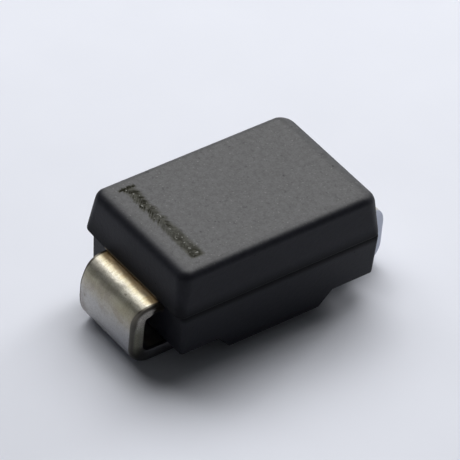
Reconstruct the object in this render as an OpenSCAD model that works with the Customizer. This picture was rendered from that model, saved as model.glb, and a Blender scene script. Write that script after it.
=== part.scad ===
// Surface-mount suppressor diode: a moulded epoxy body with two folded leads that
// curl under its ends, and inside it a silicon die soldered between the two leads.
// Millimetres, +Z up. The origin is on the board, under the middle of the leads.

/* [Body] */
// Length of the upper half at its rim
body_l = 4.19; // [3.8:0.01:4.6]
// Width of the upper half at its rim
body_w = 2.74; // [2.4:0.01:3.0]
// Height of the top face above the board
body_h = 2.2; // [1.9:0.05:2.6]
// Height of the parting plane above the board
parting_z = 1.33; // [1.2:0.01:1.5]
// Draft of the walls above the parting plane, in degrees
upper_draft = 5; // [1:0.5:8]
// Draft of the walls below the parting plane, in degrees
lower_draft = 2; // [1:0.5:6]
// How far each end of the lower half stands in from the upper half's, with the halves in line
end_step = 0.065; // [0.02:0.005:0.1]
// How far each side of the lower half stands in from the upper half's
side_step = 0.06; // [0.01:0.005:0.08]
// How far the upper half is out of line with the lower one, towards the cathode
mould_shift = 0.085; // [0:0.005:0.12]
// Height of the upright land that each half has along the parting plane
rim_land = 0.06; // [0.05:0.01:0.1]
// Bevel under the upper half's rim, which makes the dark line round the body
rim_bevel = 0.04; // [0.02:0.01:0.05]
// Radius of the upper half's upright corners at its rim
rim_corner_r = 0.15; // [0.1:0.01:0.3]
// Radius of the upper half's upright corners at its top
corner_r = 0.2; // [0.17:0.01:0.3]
// Radius of the lower half's upright corners
lower_corner_r = 0.07; // [0.06:0.01:0.2]
// Radius along the edges of the top face
edge_r = 0.15; // [0.05:0.01:0.16]

/* [Underside] */
// Gap between the pedestal and the board
standoff = 0.15; // [0.05:0.01:0.2]
// Length of the pedestal's flat
pedestal_l = 1.86; // [1.5:0.02:2.1]
// How far the middle of the pedestal lies towards the cathode
pedestal_shift = 0.04; // [0:0.01:0.1]
// Length of the slope from the pedestal up to the relief over a foot
slope_l = 0.25; // [0.1:0.01:0.35]
// Gap between a foot and the relief above it
relief_gap = 0.18; // [0.1:0.01:0.3]

/* [Polarity band] */
// Width of the marked band, along the body
band_w = 0.26; // [0.2:0.01:0.5]
// Length of the marked band, across the body
band_l = 2.02; // [1.4:0.02:2.1]
// Distance from the end of the top face to the band
band_inset = 0.405; // [0.2:0.005:0.5]
// Distance from the middle of the body to the middle of the band, across the body
band_offset = 0.04; // [0:0.01:0.08]
// Depth of the mark
band_depth = 0.015; // [0.005:0.005:0.03]

/* [Leads] */
// How far each lead stands out past the end of the body
lead_reach = 0.52; // [0.45:0.01:0.7]
// Width of a lead outside the body
lead_w = 1.46; // [1.27:0.01:1.63]
// Thickness of the strip that the leads are folded from
lead_t = 0.25; // [0.15:0.01:0.3]
// Inside radius of the bend at the cathode lead's shoulder
shoulder_r = 0.13; // [0.08:0.01:0.2]
// Inside radius of the bend at the anode lead's shoulder
anode_shoulder_r = 0.21; // [0.1:0.01:0.25]
// Inside radius of the bend into a foot
foot_r = 0.17; // [0.08:0.01:0.2]
// Length of a foot, from the outside of the lead to the foot's tip
foot_l = 1.1; // [0.8:0.02:1.3]

/* [Inside] */
// Side of the square die
die_side = 1.5; // [1:0.05:1.8]
// Thickness of the die
die_t = 0.25; // [0.15:0.01:0.35]
// Thickness of a solder layer
solder_t = 0.05; // [0.03:0.01:0.1]
// Bare rim on the die's upper face, outside the anode contact
die_rim = 0.12; // [0.08:0.01:0.2]
// Border of the cathode pad round the die
pad_border = 0.15; // [0.05:0.01:0.2]
// Straight run of a lead behind the end wall, before its width changes
neck_l = 0.2; // [0.1:0.01:0.25]
// Straight run of a lead behind the end wall, before it cranks up or down
entry_l = 0.3; // [0.2:0.01:0.35]
// Angle of the crank inside the body, in degrees
crank_angle = 45; // [30:5:60]
// Inside radius of the crank's bends
crank_r = 0.1; // [0.05:0.01:0.15]

/* [Hidden] */
$fn = 96;
corner_fn = 32;

// Ends of the lower half and of the leads
lower_l = body_l - 2 * end_step;
lower_w = body_w - 2 * side_step;
lead_out = body_l / 2 + lead_reach;
relief_z = lead_t + relief_gap;

// The leads leave the body with their upper faces on the parting plane
lead_z = parting_z - lead_t / 2;
foot_flat = foot_l - foot_r - lead_t;

// Each lead cranks by half of the die, one solder layer and half of its own thickness
crank_z = die_t / 2 + solder_t + lead_t / 2;
crank_mid_r = crank_r + lead_t / 2;
crank_run = (crank_z - 2 * crank_mid_r * (1 - cos(crank_angle))) / sin(crank_angle);
crank_l = 2 * crank_mid_r * sin(crank_angle) + crank_run * cos(crank_angle);
crank_x = lower_l / 2 - entry_l;
contact_side = die_side - 2 * die_rim;
pad_side = die_side + 2 * pad_border;

// Length or width of a drafted half at a distance from its rim
function drafted(size, draft, distance) = size - 2 * max(0, distance - rim_land) * tan(draft);

// Places its children at the four corners of a rectangle with round corners
module at_corners(l, w, r) {
    for (x = [-1, 1], y = [-1, 1])
        translate([x * (l / 2 - r), y * (w / 2 - r), 0]) children();
}

// A low disc with its lower edge bevelled
module rim_disc() {
    cylinder(h = rim_bevel, r1 = rim_corner_r - rim_bevel, r2 = rim_corner_r, $fn = corner_fn);
    translate([0, 0, rim_bevel]) cylinder(h = rim_land - rim_bevel, r = rim_corner_r, $fn = corner_fn);
}

// A low disc with its upper edge rounded
module soft_disc() {
    rotate_extrude($fn = corner_fn) {
        square([corner_r - edge_r, edge_r]);
        translate([corner_r - edge_r, 0]) intersection() {
            circle(edge_r);
            square(edge_r);
        }
    }
}

module upper_half() {
    wall_h = body_h - edge_r - parting_z;
    translate([-mould_shift, 0, parting_z]) hull() {
        at_corners(body_l, body_w, rim_corner_r) rim_disc();
        translate([0, 0, wall_h])
            at_corners(drafted(body_l, upper_draft, wall_h), drafted(body_w, upper_draft, wall_h), corner_r)
                soft_disc();
    }
}

module lower_half() {
    depth = parting_z - standoff;
    r = lower_corner_r;
    difference() {
        hull() {
            translate([0, 0, parting_z - rim_land])
                at_corners(lower_l, lower_w, r) cylinder(h = rim_land, r = r, $fn = corner_fn);
            translate([0, 0, standoff])
                at_corners(drafted(lower_l, lower_draft, depth), drafted(lower_w, lower_draft, depth), r)
                    cylinder(h = rim_land, r = r, $fn = corner_fn);
        }
        for (side = [-1, 1]) foot_relief(side);
    }
}

// The space under one end of the body, over a foot: side is -1 at the cathode and 1 at the anode
module foot_relief(side) {
    slope_start = side * pedestal_l / 2 - pedestal_shift;
    rotate([90, 0, 0]) linear_extrude(2 * body_w, center = true) polygon([
        [slope_start, 0],
        [slope_start, standoff],
        [slope_start + side * slope_l, relief_z],
        [side * lead_out, relief_z],
        [side * lead_out, 0],
    ]);
}

module polarity_mark() {
    top_l = drafted(body_l, upper_draft, body_h - parting_z);
    translate([-mould_shift - top_l / 2 + band_inset, band_offset - band_l / 2, body_h - band_depth])
        cube([band_w, band_l, 2 * band_depth]);
}

// Side view of a bend to the left, from the origin heading along +X
module bend_profile(angle, inner_r) {
    outer_r = inner_r + lead_t;
    far = 2 * outer_r;
    translate([0, inner_r + lead_t / 2]) rotate(-90) intersection() {
        difference() {
            circle(outer_r);
            circle(inner_r);
        }
        polygon([[0, 0], [far, 0], far * [cos(angle / 2), sin(angle / 2)], far * [cos(angle), sin(angle)]]);
    }
}

// Side view of a strip that starts at the origin and heads along +X.
// Each run is [length, angle of the bend after it (left is positive), inside radius of that bend].
module strip_profile(runs, i = 0) {
    run_l = runs[i][0];
    angle = runs[i][1];
    inner_r = runs[i][2];
    turn_y = sign(angle) * (inner_r + lead_t / 2);
    translate([0, -lead_t / 2]) square([run_l, lead_t]);
    translate([run_l, 0]) {
        if (angle != 0) mirror([0, angle < 0 ? 1 : 0]) bend_profile(abs(angle), inner_r);
        if (i + 1 < len(runs))
            translate([0, turn_y]) rotate(angle) translate([0, -turn_y]) strip_profile(runs, i + 1);
    }
}

// A lead at the -X end, with a bend of radius bend_r at its shoulder:
// turn is 1 where it cranks down under the die, -1 where it cranks up over it
module lead(turn, bend_r, inner_w, tip_x) {
    runs = [
        [foot_flat, 90, foot_r],
        [parting_z - foot_r - bend_r - 2 * lead_t, 90, bend_r],
        [lead_out - bend_r - lead_t - crank_x, turn * crank_angle, crank_r],
        [crank_run, -turn * crank_angle, crank_r],
        [tip_x + crank_x - crank_l, 0, 0],
    ];
    neck_x = neck_l - lower_l / 2;
    intersection() {
        rotate([90, 0, 0]) linear_extrude(2 * body_w, center = true)
            translate([foot_l - lead_out, lead_t / 2]) mirror([1, 0]) strip_profile(runs);
        union() {
            translate([-lead_out, -lead_w / 2, 0]) cube([lead_out + neck_x, lead_w, parting_z]);
            translate([-lead_out, -lead_w / 2, 0]) cube([foot_l, lead_w, relief_z]);
            translate([neck_x, -inner_w / 2, relief_z]) cube([tip_x - neck_x, inner_w, body_h - relief_z]);
        }
    }
}

module moulded_body() {
    color([0.16, 0.16, 0.17]) difference() {
        union() {
            upper_half();
            lower_half();
        }
        polarity_mark();
        cathode_lead();
        anode_lead();
        silicon_die();
        cathode_solder();
        anode_solder();
    }
}

module cathode_lead() {
    color([0.72, 0.7, 0.66]) lead(1, shoulder_r, pad_side, pad_side / 2);
}

module anode_lead() {
    color([0.72, 0.7, 0.66]) mirror([1, 0, 0]) lead(-1, anode_shoulder_r, contact_side, contact_side / 2);
}

module silicon_die() {
    color([0.35, 0.37, 0.42]) translate([0, 0, lead_z]) cube([die_side, die_side, die_t], center = true);
}

module cathode_solder() {
    color([0.62, 0.62, 0.64]) translate([0, 0, lead_z - (die_t + solder_t) / 2])
        cube([die_side, die_side, solder_t], center = true);
}

module anode_solder() {
    color([0.62, 0.62, 0.64]) translate([0, 0, lead_z + (die_t + solder_t) / 2])
        cube([contact_side, contact_side, solder_t], center = true);
}

moulded_body();
cathode_lead();
anode_lead();
silicon_die();
cathode_solder();
anode_solder();
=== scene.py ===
# %% [markdown]
# # A surface-mount suppressor diode
# The real part is a black epoxy body, cast in one shot round a silicon die, with two tin-plated
# strips that leave its ends and fold under it as feet. It is only 5 mm long, so everything below
# is thought out in millimetres and turned into metres at the last moment.
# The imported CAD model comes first. It is the fixed frame that every surface here is laid on.

import bpy
import numpy as np
from mathutils import Matrix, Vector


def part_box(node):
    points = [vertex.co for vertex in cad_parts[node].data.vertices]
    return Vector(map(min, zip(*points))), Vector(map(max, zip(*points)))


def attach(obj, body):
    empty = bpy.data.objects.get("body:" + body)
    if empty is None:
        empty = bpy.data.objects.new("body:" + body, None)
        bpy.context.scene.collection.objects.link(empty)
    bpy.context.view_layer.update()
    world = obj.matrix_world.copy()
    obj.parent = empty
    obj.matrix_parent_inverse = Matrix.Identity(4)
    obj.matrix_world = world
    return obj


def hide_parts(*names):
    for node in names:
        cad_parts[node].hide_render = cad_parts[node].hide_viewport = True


MM = 0.001
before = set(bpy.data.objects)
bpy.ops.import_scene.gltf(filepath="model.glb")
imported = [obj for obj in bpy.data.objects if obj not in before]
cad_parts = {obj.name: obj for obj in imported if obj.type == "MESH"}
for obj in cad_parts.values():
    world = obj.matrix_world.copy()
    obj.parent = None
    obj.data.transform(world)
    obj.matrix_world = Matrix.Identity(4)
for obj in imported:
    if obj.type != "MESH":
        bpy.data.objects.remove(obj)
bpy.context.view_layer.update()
print("CAD nodes:", sorted(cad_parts))

# %% [markdown]
# ## Sizes
# Most sizes can be read off the boxes of the CAD nodes, so that the surfaces stay where the solids
# are. What a box can't tell, such as a draft angle or a bend radius, is named here.

# %% Sizes read off the frame


def corners(node):
    """Lowest and highest corner of a CAD node, in millimetres."""
    low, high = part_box(node)
    return np.array(low) / MM, np.array(high) / MM


END_STEP = 0.065
SIDE_STEP = 0.06
body_low, body_high = corners("moulded_body")
cathode_low, cathode_high = corners("cathode_lead")
anode_low, anode_high = corners("anode_lead")
die_low, die_high = corners("silicon_die")
solder_low, solder_high = corners("cathode_solder")
contact_low, contact_high = corners("anode_solder")

top_z = body_high[2]
standoff = body_low[2]
parting_z = cathode_high[2]
body_w = body_high[1] - body_low[1]
lower_l = 2 * body_high[0]
lower_w = body_w - 2 * SIDE_STEP
body_l = lower_l + 2 * END_STEP
mould_shift = -body_low[0] - body_l / 2
lead_z = (die_low[2] + die_high[2]) / 2
lead_t = 2 * (parting_z - lead_z)
lead_w = anode_high[1] - anode_low[1]
lead_out = anode_high[0]
print(f"body {body_l:.2f} x {body_w:.2f} x {top_z:.2f}, parting plane at {parting_z:.2f}")
print(f"lead {lead_w:.2f} wide, {lead_t:.2f} thick, {2 * lead_out:.2f} over both")

# %% [markdown]
# ## Putting arrays into meshes
# Each new piece is worked out as one array of points and one list of faces. It could be put together
# face by face, but that would hide its shape in loops. So one helper puts the whole arrays into a mesh,
# marks the edges that are sharp on the real thing, and leaves the object at the origin.

# %% Mesh helper
SHARP_ANGLE = np.radians(32)


def make_piece(name, points, faces):
    """New mesh object from points in millimetres and lists of corner numbers, smooth but at sharp edges."""
    mesh = bpy.data.meshes.new(name)
    mesh.from_pydata((points * MM).tolist(), [], faces)
    mesh.shade_smooth()
    mesh.set_sharp_from_angle(angle=SHARP_ANGLE)
    piece = bpy.data.objects.new(name, mesh)
    bpy.context.scene.collection.objects.link(piece)
    print(f"{name}: {len(mesh.vertices)} points, {len(mesh.polygons)} faces")
    return piece


def grid_faces(index):
    """Quads between neighbours of a two-way array of point numbers, facing (first way) x (second way)."""
    quads = np.stack([index[:-1, :-1], index[1:, :-1], index[1:, 1:], index[:-1, 1:]], axis=-1)
    return quads.reshape(-1, 4).tolist()


# %% [markdown]
# ## The moulded body
# Transfer moulding leaves two drafted halves that meet at a parting plane, and here the upper half
# sits a little off towards the cathode. A modifier stack on a cube could round it, but the draft,
# the step between the halves and the pedestal below would all be guesswork. So the skin is one
# closed grid: a bottom cap, rings of walls, and a top cap that all share the same lines.
# Each line has a core part, which runs straight, and an overhang, which goes round the corner.
# The upper half's corners are tight at its rim and rounder at its top, most of all at the anode's end.

# %% Lines of the body's grid
RIM_CORNER_R = 0.15
LOWER_CORNER_R = 0.07
TOP_EDGE_R = 0.15
# The first value is for the cathode's end and the last for the anode's.
TOP_CORNER_R = (0.21, 0.26)
TOP_EDGE_H = (0.18, 0.15, 0.20)
END_EASE = (0.2, 0.9)
CORNER_STEPS = 8
PEDESTAL_L = 1.86
PEDESTAL_SHIFT = 0.04
SLOPE_L = 0.25
RELIEF_GAP = 0.18
BAND_W = 0.26
BAND_L = 2.02
BAND_INSET = 0.405
BAND_OFFSET = 0.04
UPPER_DRAFT = np.tan(np.radians(5))
LOWER_DRAFT = np.tan(np.radians(2))
RIM_LAND = 0.06
FINE_STEP = 0.011
COARSE_STEP = 0.08
FINE_REACH = 0.75

relief_z = lead_t + RELIEF_GAP
top_inset = (top_z - TOP_EDGE_R - parting_z - RIM_LAND) * UPPER_DRAFT
top_core = body_l / 2 - top_inset - END_EASE[0] * TOP_EDGE_R - TOP_CORNER_R[0]
under_core = lower_l / 2 - (parting_z - RIM_LAND - relief_z) * LOWER_DRAFT - LOWER_CORNER_R
top_end = -mould_shift - body_l / 2 + (top_z - parting_z - RIM_LAND) * UPPER_DRAFT
band_x = top_end + BAND_INSET + BAND_W / 2
band_core = np.array([-1, 1]) * FINE_REACH * BAND_W + band_x + mould_shift


def spaced(breaks, step):
    """Values from the first break to the last that stop at every break, at most a step apart."""
    counts = np.maximum(np.ceil(np.diff(breaks) / step), 1).astype(int)
    runs = [np.linspace(a, b, n + 1)[:-1] for a, b, n in zip(breaks, breaks[1:], counts)]
    return np.concatenate([*runs, breaks[-1:]])


def with_overhang(core):
    """Core values and overhangs, both from -1 to 1: first one corner, then the run, then the other corner."""
    corner = np.linspace(0, 1, CORNER_STEPS + 1)[1:]
    ends = np.ones(CORNER_STEPS)
    return np.concatenate([-ends, core, ends]), np.concatenate([-corner[::-1], 0 * core, corner])


flat_ends = np.array([-1, 1]) * PEDESTAL_L / 2 - PEDESTAL_SHIFT
slope_x = np.array([flat_ends[0] - SLOPE_L, *flat_ends, flat_ends[1] + SLOPE_L])
coarse = spaced(np.concatenate([[-1], slope_x / under_core, [1]]), COARSE_STEP / top_core)
fine = spaced(np.maximum(band_core / top_core, -1), FINE_STEP / top_core)
outside_band = (coarse < fine[0]) | (coarse > fine[-1])
core_x, over_x = with_overhang(np.sort(np.concatenate([coarse[outside_band], fine])))
core_y, over_y = with_overhang(spaced(np.array([-1.0, 1.0]), FINE_STEP / (body_w / 2)))
print(f"grid of {len(core_x)} by {len(core_y)} lines")

# %% [markdown]
# A square grid has no round corners, and the mould's corners are all round. A fan of triangles could
# fill each one, but then the grid's lines would stop there. In each corner the overhangs form a little
# square, and this bends it into a quarter of a disc: the larger overhang becomes the radius, the other
# one the angle.

# %% Round corners


def squeeze(ex, ey):
    """Quarter disc from a square corner: radius = larger overhang, angle = 45 degrees x smaller / larger."""
    far = np.maximum(np.abs(ex), np.abs(ey))
    near = np.minimum(np.abs(ex), np.abs(ey))
    angle = np.pi / 4 * near / np.maximum(far, 1e-9)
    long, short = far * np.cos(angle), far * np.sin(angle)
    along_x = np.abs(ex) >= np.abs(ey)
    return np.sign(ex) * np.where(along_x, long, short), np.sign(ey) * np.where(along_x, short, long)


CX, CY = np.meshgrid(core_x, core_y, indexing="ij")
MX, MY = squeeze(*np.meshgrid(over_x, over_y, indexing="ij"))


def outline(half_l, half_w, radius, shift, pick):
    """Points of a rounded rectangle: core value x straight half-length + bent overhang x corner radius."""
    x = shift + CX.ravel()[pick] * (half_l - radius) + MX.ravel()[pick] * radius
    y = CY.ravel()[pick] * (half_w - radius) + MY.ravel()[pick] * radius
    return x, y


number = np.arange(CX.size).reshape(CX.shape)
rim = np.concatenate([number[:-1, 0], number[-1, :-1], number[:0:-1, -1], number[0, :0:-1]])
print(f"rim of {len(rim)} points")

# %% [markdown]
# Every height of the body has its own outline. A wall of the lower half leans out by its draft on the
# way up, a wall of the upper half leans in again, and a tuck draws a ring in wherever an edge turns. A
# bevel modifier has one width for all edges, so the rings are worked out from their heights instead.

# %% Rings of the body


def underside(x):
    """Height of the underside: flat relief, straight slope, flat pedestal, and the same again mirrored."""
    return np.interp(x, slope_x, [relief_z, standoff, standoff, relief_z])


def lower_ring(z, tuck, pick):
    """Outline of the lower half at heights z: draft x depth below the land, plus a tuck for edges."""
    inset = np.maximum(parting_z - RIM_LAND - z, 0) * LOWER_DRAFT + tuck
    x, y = outline(lower_l / 2 - inset, lower_w / 2 - inset, LOWER_CORNER_R - tuck, 0.0, pick)
    return np.stack([x, y, z + 0 * x], axis=-1)


def upper_ring(z, tuck, pick):
    """Outline of the upper half at heights z: draft x height above the land, plus a tuck for edges that is
    eased at the ends. Its corners get rounder with the height."""
    wall_z = np.minimum(z, top_z - TOP_EDGE_R)
    inset = np.maximum(wall_z - parting_z - RIM_LAND, 0) * UPPER_DRAFT + tuck
    ease = np.interp(CX.ravel()[pick], [-1, 1], END_EASE) * np.where(z > (parting_z + top_z) / 2, tuck, 0)
    top_corner = np.interp(CX.ravel()[pick], [-1, 1], TOP_CORNER_R)
    climb = np.clip((wall_z - parting_z) / (top_z - TOP_EDGE_R - parting_z), 0, 1)
    corner = RIM_CORNER_R + climb * (top_corner - RIM_CORNER_R) - tuck
    x, y = outline(body_l / 2 - inset - ease, body_w / 2 - inset, corner, -mould_shift, pick)
    return np.stack([x, y, z + 0 * x], axis=-1)


under_x = CX.ravel() * under_core + MX.ravel() * LOWER_CORNER_R
under_z = underside(under_x)
print(f"underside from {under_z.min():.2f} to {under_z.max():.2f} above the board")

# %% [markdown]
# The walls are stacks of such rings. A lower wall starts at the underside, which steps up from the
# pedestal to the relief over each foot. Just under the parting plane it rounds in to a seam, and the
# upper half's rim hangs over it on a rounded lip, which is widest at the far corner of the cathode's
# end. The upper wall turns over the top edge, which is rolled furthest at the anode's end. Fillets on a
# solid could make these edges too, but here each ring just takes its height and its tuck from a
# quarter of a circle.

# %% Walls of the body
UNDER_EDGE_R = 0.05
SEAM_H = 0.1
SEAM_D = 0.05
LIP_R = 0.05
CORNER_LIP = 0.045
CORNER_REACH = 0.4
EDGE_STEPS = 12
WALL_STEPS = 6

quarter = np.linspace(0, np.pi / 2, EDGE_STEPS + 1)[:, None]
rise = np.linspace(0, 1, WALL_STEPS + 1)[1:, None]
wall_foot = under_z[rim] + UNDER_EDGE_R
lower_z = np.concatenate([
    under_z[rim] + UNDER_EDGE_R * (1 - np.cos(quarter)),
    wall_foot + rise * (parting_z - SEAM_H - wall_foot),
    parting_z - SEAM_H * (1 - np.sin(quarter[1:])) + 0 * wall_foot,
])
lower_tuck = np.concatenate([
    UNDER_EDGE_R * (1 - np.sin(quarter)),
    0 * rise,
    SEAM_D * (1 - np.cos(quarter[1:])),
])
edge_h = np.interp(MX.ravel()[rim], [-1, 0, 1], TOP_EDGE_H)
to_cathode = np.clip(1 - (1 + CX.ravel()[rim]) / CORNER_REACH, 0, 1)
to_far_side = np.clip(1 - (1 - CY.ravel()[rim]) / CORNER_REACH, 0, 1)
lip_r = LIP_R + CORNER_LIP * to_cathode * to_far_side
land = RIM_LAND - LIP_R + lip_r
upper_z = np.concatenate([
    parting_z + lip_r * (1 - np.cos(quarter)),
    parting_z + land + rise[:-1] * (top_z - edge_h - parting_z - land),
    top_z - edge_h * (1 - np.sin(quarter)),
])
upper_tuck = np.concatenate([
    lip_r * (1 - np.sin(quarter)),
    0 * rise[:-1] * lip_r,
    TOP_EDGE_R * (1 - np.cos(quarter)) + 0 * lip_r,
])
walls = np.concatenate([lower_ring(lower_z, lower_tuck, rim), upper_ring(upper_z, upper_tuck, rim)])
print(f"walls of {len(walls)} rings")

# %% [markdown]
# ## The polarity band
# A laser has scratched a hatched bar into the top face at the cathode end. It could be paint in the
# material, but the real mark is a row of shallow, uneven strokes, so the grid is fine enough there to
# hold them. Each stroke is an arrow whose two arms were burnt with their own power, reach and place.
# The same mask sinks the points and, stored on the mesh, tells the finish where it burnt.

# %% Hatching of the band
HATCH_PITCH = 0.056
HATCH_SLOPE = 1.0
GROOVE_W = 0.28
MARK_DEPTH = 0.012
STROKES = 128
DRIFT_POINTS = 16
SIDE_BLUR = 0.09
END_BLUR = 0.07
BAR_HALF_L = 0.16
BAR_HALF_W = 0.03
BAR_BLUR = 0.03

draw = np.random.default_rng(11)
stroke_power = draw.uniform(0.35, 1.0, STROKES)
stroke_reach = draw.uniform(0.5, 1.0, STROKES) * BAND_W / 2
stroke_shift = draw.uniform(-0.25, 0.25, STROKES)
drift_at = np.linspace(-1.1, 1.1, DRIFT_POINTS)
far_gain = np.interp(drift_at, [0.3, 0.7], [0, 0.3])
left_drift, right_drift = draw.uniform(0.7, 1.12, (2, DRIFT_POINTS)) + far_gain


def edge_step(distance, width):
    """0 outside and 1 inside, with a smooth step as wide as given."""
    t = np.clip(distance / width + 0.5, 0, 1)
    return t * t * (3 - 2 * t)


def laser_mark(x, y):
    """How deeply the top is burnt: a row of arrow-shaped strokes whose two arms differ in power, reach and
    place, times a slow drift of the beam, with a ragged bar across the far end. An arm is where
    (y + slope |x|) / pitch, less the arm's own shift, is half past a whole number."""
    u = x - band_x
    v = y - BAND_OFFSET
    phase = (v + HATCH_SLOPE * np.abs(u)) / HATCH_PITCH
    arm = (2 * np.floor(phase) + (u > 0)).astype(int) % STROKES
    groove = np.exp(-((phase % 1 - 0.5 - stroke_shift[arm]) / GROOVE_W) ** 2)
    crisp = np.interp(v, [-0.45, 0.1], [0.15, 1.0])
    reach = crisp * stroke_reach[arm] + (1 - crisp) * 0.48 * BAND_W
    inside = edge_step(reach - np.abs(u), SIDE_BLUR) * edge_step(BAND_L / 2 - np.abs(v), END_BLUR)
    drift = np.where(u < 0, np.interp(v, drift_at, left_drift), np.interp(v, drift_at, right_drift))
    dwell = edge_step(-v - BAND_L / 2 + 0.2, 0.12)
    strokes = inside * (drift * (0.72 + crisp * (0.6 * stroke_power[arm] * groove - 0.2)) + 0.2 * dwell)
    ragged = 0.012 * np.sin(55 * u) + 0.008 * np.sin(131 * u + 1.0)
    bar_long = edge_step(BAR_HALF_L - np.abs(u + 0.02), BAR_BLUR)
    bar = bar_long * edge_step(BAR_HALF_W + ragged - np.abs(v - BAND_L / 2 + 0.025), BAR_BLUR)
    return np.clip(np.maximum(strokes, bar), 0, 1)


top = upper_ring(np.full(CX.size, top_z), TOP_EDGE_R, np.s_[:])
mark = laser_mark(top[:, 0], top[:, 1])
top[:, 2] -= MARK_DEPTH * mark
bottom = lower_ring(under_z, UNDER_EDGE_R, np.s_[:])
print(f"mark covers {100 * np.mean(mark > 0.5):.1f} % of the top's points")

# %% [markdown]
# The two caps and the rings are stacked into one list of points. The first and last ring are the
# rims of the caps themselves. Three meshes could be joined and their seams merged afterwards, but this
# way nothing has to be merged and the skin is closed from the start.

# %% Body skin
between = walls[1:-1].reshape(-1, 3)
between_number = CX.size + np.arange(len(between)).reshape(-1, len(rim))
top_number = CX.size + len(between) + number
rings = np.concatenate([rim[None], between_number, top_number.ravel()[rim][None]])
rings = np.concatenate([rings, rings[:, :1]], axis=1)
body_faces = grid_faces(number.T) + grid_faces(rings.T) + grid_faces(top_number)
epoxy_body = make_piece("epoxy_body", np.concatenate([bottom, between, top]), body_faces)

# %% [markdown]
# The top is painted paler than the walls, as painted sheen where the lamps behind the part light it. The
# sheen fades round the top edge, comes further down on the far sides, which face the lamps, and starts later
# at the cathode's end. The finish could guess it from the height, but only the rings know how far round the
# edge they lie. So it is worked out here and stored on the points, beside the laser's mark.

# %% Painted sheen on the top
# The painted sheen's place and fade are turns round the top edge, in radians from the wall.
SHEEN_NEAR = 1.17
SHEEN_FAR_SIDE = 0.56
SHEEN_CATHODE_END = 0.17
SHEEN_FADE = 0.85
EDGE_SHEEN = 0.82
FAINT_SHEEN = 0.03
END_SHEEN = 0.74
SIDE_SHEEN = 0.85

# Painted sheen: none on the walls, rising round the top edge, a little lower at the top's margins.
edge_turn = np.concatenate([0 * lower_tuck, 0 * upper_tuck[len(quarter):, :1], quarter])[1:-1]
away = np.clip((MX + MY).ravel()[rim] / np.sqrt(2), 0, 1)
at_cathode = np.clip(-MX.ravel()[rim], 0, 1)
sheen_from = SHEEN_NEAR - SHEEN_FAR_SIDE * away + SHEEN_CATHODE_END * at_cathode
faint_sheen = FAINT_SHEEN * edge_step(edge_turn - 0.2, 0.4)
wall_sheen = EDGE_SHEEN * edge_step(edge_turn - sheen_from, SHEEN_FADE) + faint_sheen
end_margin, side_margin = (top - top.min(axis=0))[:, :2].T
end_sheen = END_SHEEN + (1 - END_SHEEN) * edge_step(end_margin - 0.04, 0.08)
side_sheen = SIDE_SHEEN + (1 - SIDE_SHEEN) * edge_step(side_margin - 0.03, 0.06)
top_sheen = np.minimum(end_sheen, side_sheen)
for name, on_bottom, on_walls, on_top in (
    ("laser_mark", 0 * mark, 0 * wall_sheen.ravel(), mark),
    ("rubbed", 0 * mark, wall_sheen.ravel(), top_sheen),
):
    values = np.concatenate([on_bottom, on_walls, on_top]).astype(np.float32)
    epoxy_body.data.attributes.new(name, "FLOAT", "POINT").data.foreach_set("value", values)
print(f"rub of up to {wall_sheen.max():.2f} on the walls, at least {top_sheen.min():.2f} on the top")

# %% [markdown]
# ## The folded leads
# Each lead is one strip of plated copper: a foot, an upright, a shoulder and, inside the epoxy, a
# crank to the height of the die. A curve with a bevel would twist at the bends, so a section is
# carried along the strip's middle line instead. The line is a list of straight runs, each with the
# arc that follows it, and the anode's shoulder has a larger arc than the cathode's.

# %% Middle line of a strip
FOOT_L = 1.1
FOOT_R = 0.17
CATHODE_SHOULDER_R = 0.13
ANODE_SHOULDER_R = 0.21
CRANK_R = 0.1
CRANK_ANGLE = 45
ENTRY_L = 0.3
NECK_L = 0.2
BEND_STEP = 4


def strip_path(start, heading, runs):
    """Places, headings and lengths along straight runs, each with an arc of its own angle and radius."""
    place, heading, length = np.array(start), np.radians(heading), 0.0
    places, headings, lengths = [place[None]], [[heading]], [[length]]
    for run_l, angle, inner_r in runs:
        t = np.linspace(0, run_l, max(2, int(run_l / COARSE_STEP) + 1))[1:]
        places.append(place + t[:, None] * [np.cos(heading), np.sin(heading)])
        headings.append(heading + 0 * t)
        lengths.append(length + t)
        place, length = places[-1][-1], length + run_l
        turn = np.radians(np.linspace(0, angle, int(abs(angle) / BEND_STEP) + 1)[1:])
        radius = np.sign(angle) * (inner_r + lead_t / 2)
        forward = np.sin(heading + turn) - np.sin(heading)
        upward = np.cos(heading) - np.cos(heading + turn)
        places.append(place + radius * np.stack([forward, upward], axis=-1))
        headings.append(heading + turn)
        lengths.append(length + radius * turn)
        if angle:
            place, heading, length = places[-1][-1], headings[-1][-1], lengths[-1][-1]
    return np.concatenate(places), np.concatenate(headings), np.concatenate(lengths)


def lead_runs(down, bend_r, tip_x):
    """Runs of a lead at the -X end, from its foot's tip inwards: down is 1 under the die and -1 over it,
    and bend_r is the inside radius at the shoulder."""
    crank_z = (die_high[2] - die_low[2]) / 2 + (solder_high[2] - solder_low[2]) + lead_t / 2
    mid_r = CRANK_R + lead_t / 2
    angle = np.radians(CRANK_ANGLE)
    crank_run = (crank_z - 2 * mid_r * (1 - np.cos(angle))) / np.sin(angle)
    crank_l = 2 * mid_r * np.sin(angle) + crank_run * np.cos(angle)
    crank_x = lower_l / 2 - ENTRY_L
    return [
        (FOOT_L - FOOT_R - lead_t, -90, FOOT_R),
        (parting_z - FOOT_R - bend_r - 2 * lead_t, -90, bend_r),
        (lead_out - bend_r - lead_t - crank_x, -down * CRANK_ANGLE, CRANK_R),
        (crank_run, down * CRANK_ANGLE, CRANK_R),
        (tip_x + crank_x - crank_l, 0, 0),
    ]


print(f"shoulders of {CATHODE_SHOULDER_R + lead_t:.2f} and {ANODE_SHOULDER_R + lead_t:.2f} outside radius")

# %% [markdown]
# The punch that cuts a strip rolls its outer edges over and leaves a crisp burr on the inner ones, so
# the corners of the section differ. A plain rectangle with a bevel would lose that. Every point of the
# section keeps its corner's radius by itself, so that the strip can change the radius on its way.

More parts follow.
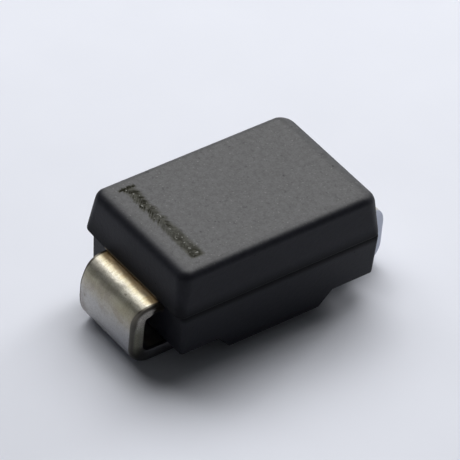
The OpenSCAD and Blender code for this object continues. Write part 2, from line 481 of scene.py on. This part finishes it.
# %% Section of a strip
CATHODE_ROLL_R = (0.03, 0.07)
ANODE_ROLL_R = (0.03, 0.03)
BURR_R = 0.015
ROLL_STEPS = 6
FLAT_STEPS = 8


def half_section(side, roll_r):
    """Half of the way round a rectangle, from the middle of the inner face to that of the outer one: side of
    each point, its corner's radius, its place on that corner sideways and outwards, and its share of the
    straight."""
    turn = np.linspace(0, np.pi / 2, ROLL_STEPS + 1)
    flat = np.linspace(0, 1, FLAT_STEPS + 1)[:-1]
    inner_half = np.stack([0 * flat + side, 0 * flat + BURR_R, 0 * flat, 0 * flat - 1, flat])
    inner_corner = np.stack([0 * turn + side, 0 * turn + BURR_R, np.sin(turn), -np.cos(turn), 0 * turn + 1])
    turn = turn[1:]
    outer_corner = np.stack([0 * turn + side, 0 * turn + roll_r, np.cos(turn), np.sin(turn), 0 * turn + 1])
    outer_half = np.stack([0 * flat + side, 0 * flat + roll_r, 0 * flat, 0 * flat + 1, flat[::-1]])
    return np.concatenate([inner_half, inner_corner, outer_corner, outer_half], axis=1)


def strip_section(rolls):
    """The +Y half of a section, then the -Y half back to the start, with their two radii of rolled edge."""
    return np.concatenate([half_section(1, rolls[0]), half_section(-1, rolls[1])[:, -2:0:-1]], axis=1)


print(f"strip section of {strip_section(CATHODE_ROLL_R).shape[1]} points")

# %% [markdown]
# Carrying the section along the line gives the strip. Its half-width changes at the neck, just
# inside the epoxy, where the strip turns into a pad or a contact. At the shoulder the press flattens
# the rolled edge, and the metal on the inside of the bend swells. The cut isn't quite square: the
# outer face spreads to the -Y side at the shoulder, and a little to the other side at the upright.
# A faint waviness keeps the plated face from reflecting like a mirror. Each point also stores how
# far along, across and through the strip it lies, so that the finish can follow the bends.

# %% Leads
WAVE = 0.003
PINCH = 0.5
PINCH_L = 0.17
PRESSED_ROLL = 0.15
# Where a spread begins or ends is a length along the strip, from the tip of its foot.
SHOULDER_SPREAD = 0.1
SHOULDER_FROM = 1.92
SHOULDER_FADE = 0.36
UPRIGHT_SPREAD = 0.06
UPRIGHT_FROM = 1.1
UPRIGHT_TO = 1.65
UPRIGHT_FADE = 0.3


def cut_spread(length, side, through):
    """How far a cut edge stands out: a step at the shoulder on the -Y side, or a hump at the upright on the
    other one, times a slant from 0.4 at the inner face to 1 at the outer one."""
    at_shoulder = SHOULDER_SPREAD * edge_step(length - SHOULDER_FROM, SHOULDER_FADE)
    hump = edge_step(length - UPRIGHT_FROM, UPRIGHT_FADE) - edge_step(length - UPRIGHT_TO, UPRIGHT_FADE)
    slant = np.clip(0.7 + 0.6 * through / lead_t, 0.4, 1)
    return np.where(side < 0, at_shoulder[:, None], UPRIGHT_SPREAD * hump[:, None]) * slant


def make_lead(name, down, bend_r, rolls, inner_w, tip_x, end):
    """One folded strip: place + outward x thickness + sideways x half-width with its spread, at -X or
    mirrored to +X."""
    runs = lead_runs(down, bend_r, tip_x)
    place, heading, length = strip_path([FOOT_L - lead_out, lead_t / 2], 180, runs)
    print(f"{name}: {length[-1]:.2f} mm long when laid flat")
    side, radius, sideways, outwards, share = strip_section(rolls)
    inside = (np.cos(heading) > 0.5) & (place[:, 0] > NECK_L - lower_l / 2)
    half_w = np.where(inside, inner_w, lead_w)[:, None] / 2
    crisp = np.interp(np.cos(heading), [0.2, 0.8], [1.0, PRESSED_ROLL])[:, None]
    middle = length[np.argmin(np.where(inside, np.pi, np.abs(heading - np.pi / 4)))]
    pinch = 1 + PINCH * np.exp(-((length - middle) / PINCH_L) ** 2)[:, None]
    radius = radius * np.where(outwards > 0, crisp, 1)
    across = side * (share * (half_w - radius) + radius * sideways)
    wave = WAVE * (1 + np.sin(5.1 * length[:, None] + 3.0 * across) * np.cos(4.3 * across + 1.1)) / 2
    depth = lead_t / 2 * np.where(outwards < 0, pinch, 1)
    through = outwards * (depth - wave * (np.abs(outwards) > 0.99) * ~inside[:, None])
    x = end * (-place[:, :1] + np.sin(heading)[:, None] * through)
    z = place[:, 1:] + np.cos(heading)[:, None] * through
    y = across * (1 + cut_spread(length, side, through) * ~inside[:, None] / half_w)
    points = np.stack([x, y, z], axis=-1)
    index = np.arange(points[..., 0].size).reshape(points.shape[:2])
    wrapped = np.concatenate([index, index[:, :1]], axis=1)
    order = slice(None, None, 1 if end < 0 else -1)
    faces = grid_faces(wrapped[:, order].T) + [index[0, ::-1][order].tolist(), index[-1][order].tolist()]
    piece = make_piece(name, points.reshape(-1, 3), faces)
    where = np.stack([length[:, None] + 0 * across, across, through], axis=-1).astype(np.float32)
    piece.data.attributes.new("strip", "FLOAT_VECTOR", "POINT").data.foreach_set("vector", where.ravel())
    return piece


pad_side = cathode_high[1] - cathode_low[1]
contact_side = contact_high[0] - contact_low[0]
cathode_strip = make_lead(
    "cathode_strip", 1, CATHODE_SHOULDER_R, CATHODE_ROLL_R, pad_side, pad_side / 2, -1)
anode_strip = make_lead(
    "anode_strip", -1, ANODE_SHOULDER_R, ANODE_ROLL_R, contact_side, contact_side / 2, 1)

# %% [markdown]
# ## Writing finishes as sums
# A finish is a tree of shader nodes. Wiring nodes by hand hides the thought behind them, so a small
# class wraps a socket: adding or multiplying two of them adds the Math node that does it, and one
# method adds any other node.

# %% Shader arithmetic


class Signal:
    """A shader socket that can be used like a number."""

    def __init__(self, tree, socket=None):
        self.tree = tree
        self.socket = socket

    def node(self, kind, settings, sockets, output=0):
        """Adds a node: first its settings, where stops are a ramp's, then its sockets' values or links."""
        made = self.tree.nodes.new(kind)
        for name, setting in settings.items():
            if name == "stops":
                while len(made.color_ramp.elements) < len(setting):
                    made.color_ramp.elements.new(1.0)
                for element, (place, colour) in zip(made.color_ramp.elements, setting):
                    element.position = place
                    element.color = (*colour, 1.0)
            else:
                setattr(made, name, setting)
        for key, value in sockets.items():
            if isinstance(value, Signal):
                self.tree.links.new(value.socket, made.inputs[key])
            else:
                made.inputs[key].default_value = value
        return Signal(self.tree, made.outputs[output] if made.outputs else None)

    def math(self, operation, *values):
        """Result of one arithmetic operation on these values or signals."""
        return self.node("ShaderNodeMath", {"operation": operation}, dict(enumerate(values)))

    def __add__(self, other):
        return self.math("ADD", self, other)

    def __mul__(self, other):
        return self.math("MULTIPLY", self, other)

    def __sub__(self, other):
        return self.math("SUBTRACT", self, other)

    def __rsub__(self, other):
        return self.math("SUBTRACT", other, self)

    def __abs__(self):
        return self.math("ABSOLUTE", self)

    __radd__ = __add__
    __rmul__ = __mul__

    def axis(self, name):
        """One component of this vector."""
        return self.node("ShaderNodeSeparateXYZ", {}, {0: self}, output=name)

    def stored(self, name, output="Fac"):
        """What the mesh has stored on its points under a name."""
        return self.node("ShaderNodeAttribute", {"attribute_name": name}, {}, output=output)

    def step(self, low, high):
        """0 below low, 1 above high, and a smooth step between."""
        settings = {"interpolation_type": "SMOOTHSTEP"}
        return self.node("ShaderNodeMapRange", settings, {"Value": self, "From Min": low, "From Max": high})

    def mix(self, first, second):
        """Colour between two others, with this signal as the share of the second."""
        return self.node("ShaderNodeMix", {"data_type": "RGBA"}, {0: self, 6: first, 7: second}, output=2)

    def stretched(self, x, y, z):
        """This vector times a factor along each axis."""
        return self.node("ShaderNodeVectorMath", {"operation": "MULTIPLY"}, {0: self, 1: (x, y, z)})

    def noise(self, scale, detail, cut=0.0):
        """Cloudy noise from about 0 to 1 on this vector, with another cloud for each value of cut."""
        sockets = {"Vector": self, "Scale": scale, "Detail": detail, "W": cut}
        return self.node("ShaderNodeTexNoise", {"noise_dimensions": "4D"}, sockets)

    def bump(self, strength, distance):
        """Normal of a surface on which this signal is a height, in units of a distance in millimetres."""
        sockets = {"Strength": strength, "Distance": distance * MM, "Height": self}
        return self.node("ShaderNodeBump", {}, sockets)


def start_finish(name):
    """New material, and a signal that holds the Object coordinates in millimetres."""
    material = bpy.data.materials.new(name)
    material.use_nodes = True
    material.node_tree.nodes.clear()
    blank = Signal(material.node_tree)
    metres = blank.node("ShaderNodeTexCoord", {}, {}, output="Object")
    return material, metres.stretched(1 / MM, 1 / MM, 1 / MM)


def principled(place, sockets):
    """A Principled shader with these values or links."""
    return place.node("ShaderNodeBsdfPrincipled", {}, sockets, output="BSDF")


def end_finish(material, shader):
    """Closes a finish with its shader."""
    shader.node("ShaderNodeOutputMaterial", {}, {"Surface": shader})
    print(f"{material.name}: {len(material.node_tree.nodes)} nodes")
    return material


# %% [markdown]
# ## Black epoxy
# Moulding compound is mostly fine silica in black resin. Where the mould closed, painted shade darkens the
# seam along the parting plane under the rim of the upper half, deeper at the ends, and a painted tan
# reflection of the leads lightens the wall round their exits. Both could be painted onto the skin by hand,
# but they depend on nothing but the place, so a few steps find them.

# %% Painted seam shade and lead reflection
# Heights are counted from the parting plane, or for the painted reflection's foot from the lead's lower face.
END_ZONE = (1.9, 2.05)
SEAM_SHADE_RISE = (-0.2, -0.08)
SEAM_SHADE_TOP = -0.03
SEAM_SHADE_FADE = 3.4
SEAM_SHADE_END_FADE = 1.82
REFLECTION_FOOT = (-0.14, -0.04)
REFLECTION_TOP = (0.03, 0.09)
REFLECTION_BLUR = 0.05


def painted_seam_shade_and_reflection(place):
    """Painted seam shade and painted lead reflection, each from 0 to 1. The shade rises below the parting
    plane and fades in proportion to the height above it, more slowly at the ends. The reflection lies at the
    ends, as wide as a lead."""
    at_end = abs(place.axis("X") + mould_shift).step(*END_ZONE)
    on_lead = at_end * (1 - abs(place.axis("Y")).step(lead_w / 2 - REFLECTION_BLUR, lead_w / 2 + REFLECTION_BLUR))
    up = place.axis("Z") - parting_z
    fade = (up - SEAM_SHADE_TOP) * (SEAM_SHADE_FADE - (SEAM_SHADE_FADE - SEAM_SHADE_END_FADE) * at_end)
    seam_shade = up.step(*SEAM_SHADE_RISE) * (1 - fade.step(0.0, 1.0))
    lead_reflection = on_lead * (up + lead_t).step(*REFLECTION_FOOT) * (1 - up.step(*REFLECTION_TOP))
    return seam_shade, lead_reflection


# %% [markdown]
# The walls have the skin of the spark-eroded mould, painted nearly black and bluish, darker than the epoxy,
# as painted shade and a painted reflection of the pale floor. The top is painted a paler grey as painted
# sheen, with fine grain, sparse pits and bright filler grains. One shader could hold all that, but soot has
# no gloss at all, so the painted shade of the seam and the laser's mark mix in a second, matte shader, with
# the filler's sparks left bright.

# %% Epoxy finish
# The top's greys are paler: painted sheen from the lamps behind the part.
# Wall colours are darker and bluer than black epoxy: painted shade and painted floor reflection.
SHADED_WALL_BLACKS = (0.0085, 0.009, 0.0135, 1), (0.0125, 0.0135, 0.019, 1)
LIT_TOP_GREYS = (0.078, 0.078, 0.079, 1), (0.124, 0.124, 0.128, 1)
SINGED = (0.105, 0.105, 0.07, 1)
REFLECTED_TAN = (0.3, 0.23, 0.13, 1)
PIT_BLACK = (0.004, 0.004, 0.005, 1)
FILLER_GLINT_GREY = (0.24, 0.24, 0.23, 1)
SEAM_SHADE_BLACK = (0.001, 0.001, 0.001, 1)
SOOT = (0.013, 0.0125, 0.0075, 1)


def epoxy_finish():
    """Mottled shaded wall and lit top mixed by the painted sheen, with the painted reflection of the leads,
    the mark, pits and grains over them. The share of the matte shader is the mark, broken by flecks and
    sparks, plus the painted seam shade outside that reflection."""
    material, place = start_finish("eroded_epoxy")
    rubbed = place.stored("rubbed")
    mark = place.stored("laser_mark")
    seam_shade, lead_reflection = painted_seam_shade_and_reflection(place)
    grain = place.noise(30.0, 3.0)
    cloud = place.noise(11.0, 3.0)
    pits = place.noise(9.0, 1.0).step(0.73, 0.78)
    # Glints and sparks are pale filler grains, painted brighter as painted glints.
    glints = rubbed * place.noise(26.0, 0.0).step(0.71, 0.80)
    dots = rubbed * place.noise(17.0, 0.0, cut=3.0).step(0.70, 0.79)
    sparks = place.noise(20.0, 0.0, cut=1.0).step(0.68, 0.76)
    flecks = place.noise(13.0, 2.0).step(0.38, 0.66)
    mottle = (0.5 * grain + 0.5 * cloud).step(0.3, 0.7)
    # The walls round the leads' exits are painted tan: a painted reflection of the brown leads.
    wall = lead_reflection.mix(mottle.mix(*SHADED_WALL_BLACKS), REFLECTED_TAN)
    face = (0.7 * mark).mix(mottle.mix(*LIT_TOP_GREYS), SINGED)
    pitted = (0.4 * pits + 0.25 * dots).mix(rubbed.mix(wall, face), PIT_BLACK)
    colour = (0.45 * glints + 0.6 * mark * sparks).mix(pitted, FILLER_GLINT_GREY)
    rough = 0.34 + 0.20 * grain + 0.10 * cloud + 0.2 * pits
    relief = (grain + 1.5 * cloud - 0.8 * pits).bump(0.6, 0.004)
    moulded = principled(place, {
        "Base Color": colour, "Roughness": rough, "Normal": relief, "IOR": 1.5, "Specular IOR Level": 0.18,
    })
    # Matte base: painted black seam shade on the walls, the laser's soot on the top.
    soot_and_seam_shade = rubbed.mix(SEAM_SHADE_BLACK, SOOT)
    matte = principled(place, {
        "Base Color": soot_and_seam_shade, "Roughness": 0.9, "Normal": relief, "Specular IOR Level": 0.1,
    })
    share = mark * (1.15 - 0.5 * flecks) * (1 - sparks) + 0.65 * seam_shade * (1 - lead_reflection)
    return end_finish(material, place.node("ShaderNodeMixShader", {}, {0: share, 1: moulded, 2: matte}))


# %% [markdown]
# ## Tin plating
# The strips are rolled copper with a satin coat of tin. Handling has left smudges, specks and a patchy
# tarnish on it. From the foot to the body the plating goes from grey, with painted shade at the foot's bend
# for the shadowed floor it reflects, over olive and a line painted paler at the shoulder as painted
# highlight, to the brown that the hot mould left, painted lighter in the crease at the body, with ragged
# borders. A ramp along the strip gives these colours, since Object coordinates would cut straight across
# the bends.

# %% Plated faces
RAMP_FROM = 1.4
RAMP_TO = 2.2
RAMP_RAGGED = 0.14
# Stops 0.54 to 0.70 are painted paler: painted highlight along the shoulder.
# The last stop is painted lighter: painted light in the crease at the body.
TINT_AND_HIGHLIGHT_COLOURS = [
    (0.0, (0.425, 0.42, 0.41)),
    (0.25, (0.415, 0.385, 0.31)),
    (0.42, (0.315, 0.285, 0.18)),
    (0.54, (0.49, 0.46, 0.32)),
    (0.61, (0.60, 0.575, 0.48)),
    (0.70, (0.68, 0.645, 0.535)),
    (0.75, (0.51, 0.46, 0.31)),
    (0.83, (0.35, 0.237, 0.095)),
    (1.0, (0.42, 0.27, 0.095)),
]
FOOT_SHADE_TIN = (0.27, 0.28, 0.31, 1)
WORN_TIN = (0.68, 0.67, 0.65, 1)
SMUDGE = (0.26, 0.225, 0.2, 1)
TARNISH = (0.3, 0.255, 0.19, 1)
SPECK = (0.17, 0.155, 0.12, 1)


def ramp_place_along(strip):
    """Place on the ramp of tarnish, painted highlight and painted shade, from 0 at the upright to 1 at the
    body:
    the length along the strip, pushed to and fro by fine noise."""
    fray = strip.stretched(1.5, 26.0, 26.0).noise(1.0, 2.0) - 0.5
    ragged = strip.axis("X") + RAMP_RAGGED * fray
    reach = {"Value": ragged, "From Min": RAMP_FROM, "From Max": RAMP_TO}
    return ragged.node("ShaderNodeMapRange", {}, reach)


def plated_colour(place, strip, ramp_place, grain):
    """Colour of the ramp, with painted shade at the foot's bend, wear, smudges, tarnish and specks mixed over
    it in turn.
    """
    along = strip.axis("X")
    plate = ramp_place.node("ShaderNodeValToRGB", {"stops": TINT_AND_HIGHLIGHT_COLOURS}, {"Fac": ramp_place})
    # Painted shade at the foot's bend, for the shadowed floor it reflects, reaching higher on the near side.
    foot_bend_shade = along.step(0.6, 0.8) * (1 - (along + 0.4 * strip.axis("Y")).step(0.85, 1.4))
    foot_shaded = (0.9 * foot_bend_shade).mix(plate, FOOT_SHADE_TIN)
    worn = (0.3 * strip.noise(2.4, 3.0)).mix(foot_shaded, WORN_TIN)
    smudges = strip.noise(2.6, 3.0, cut=6.8).step(0.5, 0.68)
    handled = (0.45 * smudges).mix(worn, SMUDGE)
    patches = strip.noise(6.0, 4.0, cut=1.5).step(0.46, 0.62) * along.step(1.25, 1.5)
    tarnished = (0.4 * patches * (1 - ramp_place.step(0.3, 0.5))).mix(handled, TARNISH)
    specks = place.noise(9.0, 1.0, cut=2.0).step(0.69, 0.76)
    return (0.5 * specks + 0.32 * grain.step(0.4, 0.75)).mix(tarnished, SPECK)


# %% [markdown]
# The cathode's cut edges are painted dark where the punch sheared them, as painted shade, and paler at the
# shoulder as painted highlight. They are pale and rough where they tore, and painted nearly black beside the
# body as painted shade under the overhang. The anode's edges are painted pale and bluish, as painted
# reflection of the lit floor. The edges could be faces with a finish of their own, but the borders of these
# zones are soft, so the place on the strip decides.

# %% Cut edges
EDGE_MARGIN = 0.018
CUT_FROM = 0.06
CUT_TO = 0.03
SHOULDER_ZONE = (1.6, 1.85)
ANODE_HALF = (0.0, 0.1)
# These edge colours are painted light and shade; only the torn metals are the edge's own colour.
SHADED_FOOT_EDGE = (0.17, 0.17, 0.18, 1)
SHADED_UPRIGHT_EDGE = (0.09, 0.085, 0.075, 1)
HIGHLIT_SHOULDER_EDGE = (0.16, 0.145, 0.12, 1)
SHADED_EDGE_AT_BODY = (0.035, 0.03, 0.022, 1)
LIT_ANODE_EDGE = (0.41, 0.43, 0.49, 1)
TORN_METALS = (0.34, 0.34, 0.27, 1), (0.76, 0.73, 0.67, 1)
TORN_PIT = (0.17, 0.155, 0.13, 1)


def torn_share(place, strip, cut):
    """Where a cut edge tore: on the inner side of the cathode's edge, from the upright on."""
    along = strip.axis("X")
    outer = strip.axis("Z") + 0.035 * along.step(1.45, 1.7)
    at_cathode = 1 - place.axis("X").step(*ANODE_HALF)
    return cut * (1 - outer.step(0.03, 0.095)) * along.step(0.9, 1.25) * at_cathode


def edge_colour(place, strip, ramp_place, grain, plated, cut, torn):
    """The plating, then on cut edges the painted shade and highlight of each part of the strip, then the torn
    metal.
    """
    along = strip.axis("X")
    # Painted shade on the sheared edge, paler at the shoulder as painted highlight, darkest at the body.
    lower = along.step(0.7, 1.1).mix(SHADED_FOOT_EDGE, SHADED_UPRIGHT_EDGE)
    cut_light_and_shade = (along.step(*SHOULDER_ZONE) * (1 - along.step(1.93, 2.06))).mix(lower, HIGHLIT_SHOULDER_EDGE)
    shaded_at_body = along.step(1.97, 2.08).mix(cut_light_and_shade, SHADED_EDGE_AT_BODY)
    # On the anode the edge is a pale, bluish painted reflection of the lit floor.
    painted_cut_edge = cut.mix(plated, place.axis("X").step(*ANODE_HALF).mix(shaded_at_body, LIT_ANODE_EDGE))
    polished = ramp_place.step(0.0, 0.5) + 0.25 * (1 - strip.axis("Z").step(-0.1, 0.0))
    broken = (0.5 * grain.step(0.4, 0.7)).mix(polished.mix(*TORN_METALS), TORN_PIT)
    return (torn * (1 - ramp_place.step(0.74, 0.88))).mix(painted_cut_edge, broken)


# %% [markdown]
# Rolling leaves streaks along the strip and shallow dents across it. They could be modelled, but they are
# far finer than the mesh, so they tilt the normal and vary the gloss.

# %% Lead finish


def tin_finish():
    """Metal whose gloss and height are sums of streaks, grain, dents and the torn edge."""
    material, place = start_finish("tin_plating")
    strip = place.stored("strip", "Vector")
    grain = place.noise(45.0, 2.0)
    ramp_place = ramp_place_along(strip)
    margin = EDGE_MARGIN * (1 - strip.axis("X").step(*SHOULDER_ZONE))
    cut = (abs(strip.axis("Y") - margin) + margin).step(lead_w / 2 - CUT_FROM, lead_w / 2 - CUT_TO)
    torn = torn_share(place, strip, cut)
    plated = plated_colour(place, strip, ramp_place, grain)
    colour = edge_colour(place, strip, ramp_place, grain, plated, cut, torn)
    streaks = strip.stretched(0.5, 12.0, 12.0).noise(1.0, 4.0)
    dents = strip.stretched(2.0, 0.8, 1.0).noise(5.0, 2.0)
    rough = 0.33 + 0.16 * streaks + 0.08 * grain + 0.15 * torn
    relief = (0.7 * streaks + 0.3 * grain + 8.0 * dents + 0.5 * torn * grain).bump(0.35, 0.004)
    shader = principled(place, {"Base Color": colour, "Metallic": 1.0, "Roughness": rough, "Normal": relief})
    return end_finish(material, shader)


# %% [markdown]
# ## The inside
# The die and the two solder layers are sealed in the epoxy. New meshes could stand for them too, but
# nobody sees their edges, so they keep their CAD solids, and get the saw marks of a diced wafer and the
# crystals of slowly cooled solder.

# %% Finishes of the sealed pieces
SILICON_GREYS = (0.055, 0.06, 0.075, 1), (0.11, 0.115, 0.135, 1)
SOLDER_GREYS = (0.42, 0.42, 0.44, 1), (0.58, 0.58, 0.59, 1)


def silicon_finish():
    """Clouds of two dark greys, with saw marks: noise that changes much faster in height than sideways."""
    material, place = start_finish("sawn_silicon")
    saw = place.stretched(0.6, 0.6, 40.0).noise(1.0, 2.0)
    colour = place.noise(1.5, 2.0).mix(*SILICON_GREYS)
    rough = 0.18 + 0.25 * saw
    relief = saw.bump(0.4, 0.003)
    shader = principled(place, {"Base Color": colour, "Metallic": 0.35, "Roughness": rough, "Normal": relief})
    return end_finish(material, shader)


def solder_finish():
    """Two greys mixed by the distance to the nearest crystal's middle, with grain in the gloss."""
    material, place = start_finish("cooled_solder")
    crystals = place.node("ShaderNodeTexVoronoi", {}, {"Vector": place, "Scale": 14.0})
    grain = place.noise(30.0, 2.0)
    colour = crystals.mix(*SOLDER_GREYS)
    rough = 0.3 + 0.2 * grain
    relief = (crystals + 0.4 * grain).bump(0.5, 0.005)
    shader = principled(place, {"Base Color": colour, "Metallic": 1.0, "Roughness": rough, "Normal": relief})
    return end_finish(material, shader)


# %% [markdown]
# ## Dressing the pieces
# The new skins stand for the three CAD nodes that show. Nothing moves, so everything rides on the
# one body of the frame. Each lead could have a finish of its own, but both come off the same reel of
# strip, so they share one.

# %% Finishes and bodies
epoxy = epoxy_finish()
tin = tin_finish()
silicon = silicon_finish()
solder = solder_finish()
for piece, finish, slot, node in (
    (epoxy_body, epoxy, "epoxy", "moulded_body"),
    (cathode_strip, tin, "tinned_lead", "cathode_lead"),
    (anode_strip, tin, "tinned_lead", "anode_lead"),
):
    piece.data.materials.append(finish)
    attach(piece, "root")
    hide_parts(node)
for node, finish in (("silicon_die", silicon), ("cathode_solder", solder), ("anode_solder", solder)):
    for material_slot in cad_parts[node].material_slots:
        material_slot.material = finish

# %% [markdown]
# ## Floor
# A pale floor carries the soft shadow. It could be a white world, but then nothing would show that
# the part stands on something. It is far larger than the view, so no edge of it is seen.

# %% Floor
FLOOR_HALF = 400.0
FLOOR_GREYS = (0.73, 0.75, 0.82, 1), (0.77, 0.79, 0.86, 1)


def floor_finish():
    """Two pale greys mixed by a slow cloud."""
    material, place = start_finish("pale_floor")
    colour = place.noise(0.6, 2.0).mix(*FLOOR_GREYS)
    return end_finish(material, principled(place, {"Base Color": colour, "Roughness": 0.7}))


floor_corners = FLOOR_HALF * np.array([[-1, -1, 0], [1, -1, 0], [1, 1, 0], [-1, 1, 0]])
floor = make_piece("floor", floor_corners, [[0, 1, 2, 3]])
floor.data.materials.append(floor_finish())

# %% [markdown]
# ## Light
# Three soft lamps stand behind the part. The wide one is a window, which gives the top its grey sheen,
# a desk lamp draws the bright line along the shoulder of the lead, and a low lamp at the anode's end
# reaches under the body. A dim world fills the rest. A lamp on the camera's side would wash out the
# black walls.

# %% Light
ROOM_COLOUR = (0.94, 0.97, 1.0, 1)
ROOM_STRENGTH = 0.06
LAMP_DISTANCE = 90
PART_MIDDLE = (0, 0, 1)

bpy.context.scene.view_settings.view_transform = "Standard"
world = bpy.data.worlds.new("dim_room")
world.use_nodes = True
world.node_tree.nodes["Background"].inputs["Color"].default_value = ROOM_COLOUR
world.node_tree.nodes["Background"].inputs["Strength"].default_value = ROOM_STRENGTH
bpy.context.scene.world = world


def direction(azimuth, elevation):
    """Unit vector from the part towards a place round it: azimuth 0 is in front, at -Y, and 90 is at +X."""
    azimuth, elevation = np.radians([azimuth, elevation])
    return np.array([
        np.sin(azimuth) * np.cos(elevation),
        -np.cos(azimuth) * np.cos(elevation),
        np.sin(elevation),
    ])


def facing(back, roll):
    """Turn whose third axis is back and whose first is level, then rolled about the third."""
    right = np.cross([0, 0, 1], back)
    right /= np.linalg.norm(right)
    up = np.cross(back, right)
    c, s = np.cos(np.radians(roll)), np.sin(np.radians(roll))
    return np.stack([c * right + s * up, c * up - s * right, back], axis=1)


def aimed(thing, spot, back, distance, roll=0.0):
    """Puts a lamp or camera on a line out of a spot and turns it to look back at the spot."""
    matrix = np.eye(4)
    matrix[:3, :3] = facing(back, roll)
    matrix[:3, 3] = (np.array(spot) + distance * back) * MM
    holder = bpy.data.objects.new(thing.name, thing)
    holder.matrix_world = Matrix(matrix)
    bpy.context.scene.collection.objects.link(holder)
    return holder


def soft_lamp(name, azimuth, elevation, size, power):
    """Area lamp of a size in millimetres and a power in watts, aimed at the part from one direction."""
    lamp = bpy.data.lights.new(name, "AREA")
    lamp.shape = "RECTANGLE"
    lamp.size, lamp.size_y = size[0] * MM, size[1] * MM
    lamp.energy = power
    print(f"{name}: {size[0]} x {size[1]} mm, {power} W")
    return aimed(lamp, PART_MIDDLE, direction(azimuth, elevation), LAMP_DISTANCE)


soft_lamp("window", 136, 58, (80, 58), 0.079)
soft_lamp("low_lamp", 102, 25, (26, 18), 0.017)
soft_lamp("desk_lamp", 193, 48, (36, 46), 0.015)

# %% [markdown]
# ## Camera
# The camera is a long lens at the photograph's angle: far round to the cathode end and 40 degrees up.
# Its focal length is written in pixels of a square frame, because that is how a lens is measured
# from a picture, and is turned into millimetres of sensor here.

# %% Camera
AZIMUTH = -40.05
ELEVATION = 40.53
ROLL = 5.76
DISTANCE = 77.0
LOOK_AT = (0.9025, 1.2485, 0.004)
FOCAL_PIXELS = 4495.1
FRAME_PIXELS = 460
SENSOR_W = 36.0

camera = bpy.data.cameras.new("camera")
camera.sensor_width = SENSOR_W
camera.lens = SENSOR_W * FOCAL_PIXELS / FRAME_PIXELS
camera.clip_start = MM
camera.clip_end = 2000 * MM
bpy.context.scene.camera = aimed(camera, LOOK_AT, direction(AZIMUTH, ELEVATION), DISTANCE, ROLL)
print(f"lens {camera.lens:.1f} mm")
